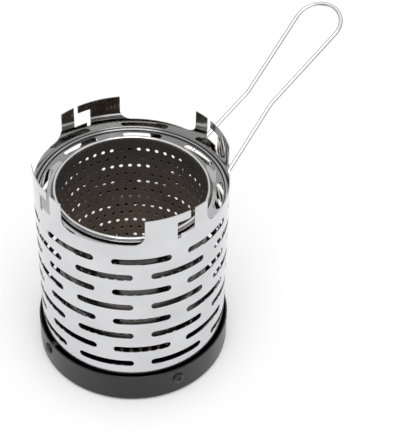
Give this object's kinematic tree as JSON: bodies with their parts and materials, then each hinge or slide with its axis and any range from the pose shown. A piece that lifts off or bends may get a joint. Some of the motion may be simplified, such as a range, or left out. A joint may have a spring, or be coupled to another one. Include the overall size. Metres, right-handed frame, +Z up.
{
  "type": "radiant heater cover for a camping burner",
  "caption": "Round stove-top heater cover: slotted polished sleeve with notched tabs round a perforated radiant cylinder, black cap with screws, and a clip-on wire handle.",
  "frame": {"origin": "middle of the cap's resting plane, on the sleeve's axis", "axes": "+Z up the sleeve's axis from the cap to the burner end; the four screws and tabs lie on +X, +Y, -X and -Y"},
  "size_m": [0.2104, 0.1182, 0.1392],
  "materials": {
    "polished_steel": "polished stainless sheet",
    "heat_darkened_steel": "darkened by heat",
    "black_enamel": "semi-gloss black enamel",
    "black_screw": "black oxide",
    "zinc_steel": "zinc plated",
    "bright_wire": "bright drawn stainless wire"
  },
  "bodies": {
    "cover": {"outer_sleeve": "polished_steel", "radiant_cylinder": "heat_darkened_steel", "slotted_ring": "polished_steel", "cap": "black_enamel", "cap_screw_1": "black_screw", "cap_screw_2": "black_screw", "cap_screw_3": "black_screw", "cap_screw_4": "black_screw", "cap_nut_1": "zinc_steel", "cap_nut_2": "zinc_steel", "cap_nut_3": "zinc_steel", "cap_nut_4": "zinc_steel", "cap_spacer_1": "zinc_steel", "cap_spacer_2": "zinc_steel", "cap_spacer_3": "zinc_steel", "cap_spacer_4": "zinc_steel"},
    "handle": {"wire_handle": "bright_wire"}
  },
  "joints": [
    {"name": "handle_hinge", "type": "hinge", "parent": "cover", "child": "handle", "pos_m": [0.0461, 0.01617, 0.08016], "axis": [0.331, -0.9436, 0], "range_deg": [0, 50]}
  ]
}
